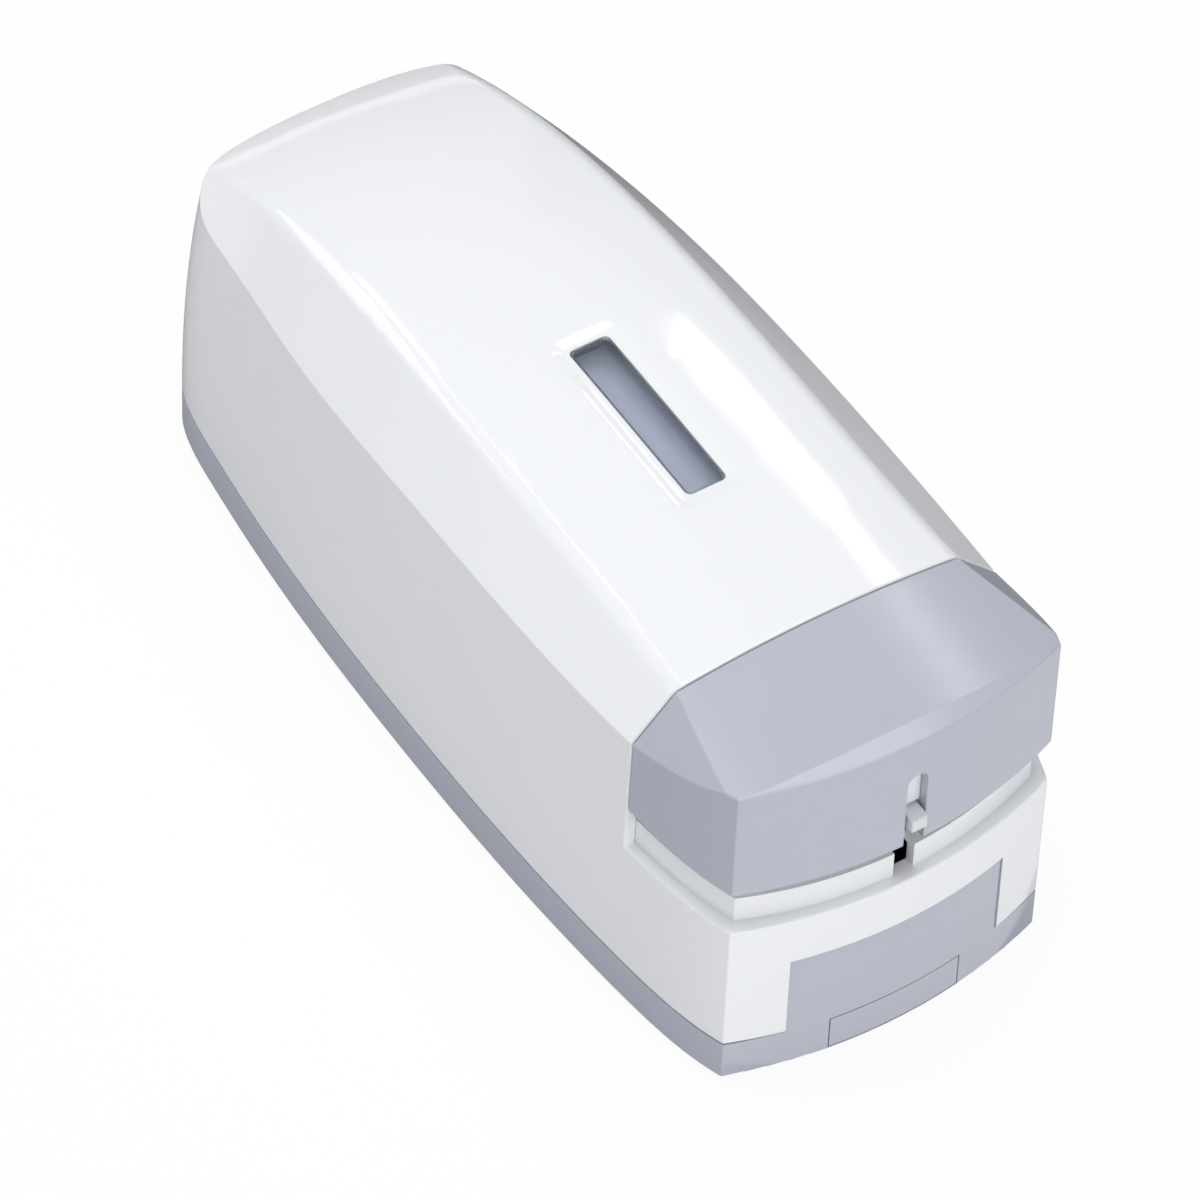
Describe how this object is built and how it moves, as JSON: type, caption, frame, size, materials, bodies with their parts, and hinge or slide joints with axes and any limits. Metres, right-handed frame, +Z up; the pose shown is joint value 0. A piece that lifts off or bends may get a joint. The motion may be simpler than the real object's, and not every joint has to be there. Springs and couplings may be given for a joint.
{
  "type": "electric stapler",
  "caption": "Mains-powered desktop electric stapler with a paper throat under a grey nose cap, a pull-out staple drawer, a loose-staple tray and a motor-driven head.",
  "frame": {"origin": "centre of the footprint, on the surface that the rubber feet stand on", "axes": "+Z up; +Y towards the tail with the mains inlet, so the nose with the paper throat faces -Y; +X to the right as seen from the nose with Z up"},
  "size_m": [0.0974, 0.236, 0.0965],
  "materials": {
    "white_shell": "gloss white ABS",
    "lever_white": "gloss light grey ABS",
    "grey_shell": "semi-gloss cool grey ABS",
    "lens": "clear polycarbonate",
    "well": "satin blue-grey",
    "rubber": "matte",
    "steel": "plain zinc-plated",
    "nylon": "natural nylon",
    "pinion_brass": "plain",
    "black_plastic": "fine-grained black",
    "board": "solder mask",
    "iron": "varnished laminations",
    "winding": "wrapped yellow tape",
    "aluminium": "satin"
  },
  "bodies": {
    "base": {"base_tray": "grey_shell", "main_housing": "white_shell", "window_lens": "lens", "window_well": "well", "rubber_feet": "rubber", "housing_screws": "steel", "magazine_guide": "nylon", "anvil_plate": "steel", "chassis_left": "steel", "chassis_right": "steel", "chassis_screws": "steel", "motor": "steel", "motor_screws": "steel", "arm_pin": "steel", "idler_shaft": "steel", "gear_cover": "nylon", "trigger_pin": "steel", "paper_switch": "black_plastic", "circuit_board": "board", "board_screws": "steel", "transformer_core": "iron", "transformer_coil": "winding", "capacitors": "aluminium", "heat_sink": "aluminium", "power_switch": "black_plastic", "mains_inlet": "black_plastic", "inlet_pins": "pinion_brass"},
    "drawer": {"nose_cap": "grey_shell", "drawer_carrier": "white_shell", "cap_screws": "steel", "magazine_channel": "steel", "staple_core": "steel", "pusher_rod": "steel", "pusher_spring": "steel", "lever_spring": "steel"},
    "pusher": {"staple_pusher": "nylon"},
    "lever": {"release_lever": "lever_white"},
    "ram": {"driver_ram": "steel", "driver_blade": "steel"},
    "arm": {"driver_arm": "steel"},
    "crank": {"crank_shaft": "steel", "crank_gear": "nylon"},
    "idler": {"idler_gear": "nylon"},
    "pinion": {"motor_pinion": "pinion_brass"},
    "trigger": {"paper_trigger": "black_plastic"},
    "rocker": {"power_rocker": "black_plastic"},
    "catch_drawer": {"catch_tray": "grey_shell"}
  },
  "joints": [
    {"name": "drawer_slide", "type": "slide", "parent": "base", "child": "drawer", "axis": [0, 1, 0], "range_m": [-0.075, 0]},
    {"name": "pusher_slide", "type": "slide", "parent": "drawer", "child": "pusher", "axis": [0, 1, 0], "range_m": [0, 0.088], "stiffness_N_per_m": 25, "springref_m": -0.02, "deforming": ["pusher_spring"]},
    {"name": "lever_slide", "type": "slide", "parent": "drawer", "child": "lever", "axis": [0, 0, -1], "range_m": [0, 0.012], "stiffness_N_per_m": 60, "springref_m": -0.004, "deforming": ["lever_spring"]},
    {"name": "crank_spin", "type": "hinge", "parent": "base", "child": "crank", "pos_m": [0.02, -0.0727, 0.0765], "axis": [1, 0, 0], "range_deg": [0, 180]},
    {"name": "arm_swing", "type": "hinge", "parent": "base", "child": "arm", "pos_m": [0, -0.0447, 0.082], "axis": [1, 0, 0], "range_deg": [0, 10.66]},
    {"name": "ram_slide", "type": "slide", "parent": "base", "child": "ram", "axis": [0, 0, -1], "range_m": [0, 0.0116]},
    {"name": "idler_spin", "type": "hinge", "parent": "base", "child": "idler", "pos_m": [0.02, -0.0597, 0.06464], "axis": [1, 0, 0], "range_deg": [-481, 1]},
    {"name": "pinion_spin", "type": "hinge", "parent": "base", "child": "pinion", "pos_m": [0.02, -0.05525, 0.04844], "axis": [1, 0, 0], "range_deg": [-1, 1761]},
    {"name": "trigger_swing", "type": "hinge", "parent": "base", "child": "trigger", "pos_m": [-0.018, -0.0787, 0.0491], "axis": [-1, 0, 0], "range_deg": [0, 15], "stiffness_Nm_per_rad": 0.002, "springref_deg": -17.19},
    {"name": "rocker_tilt", "type": "hinge", "parent": "base", "child": "rocker", "pos_m": [0.017, 0.1108, 0.0315], "axis": [-1, 0, 0], "range_deg": [0, 16]},
    {"name": "catch_slide", "type": "slide", "parent": "base", "child": "catch_drawer", "axis": [0, -1, 0], "range_m": [0, 0.04]}
  ],
  "couplings": [
    {"joint": "arm_swing", "follows": "crank_spin", "ratio": 0.058652},
    {"joint": "ram_slide", "follows": "crank_spin", "m_per_rad": 0.0036606},
    {"joint": "idler_spin", "follows": "crank_spin", "ratio": -2.6667},
    {"joint": "pinion_spin", "follows": "crank_spin", "ratio": 9.7778}
  ]
}
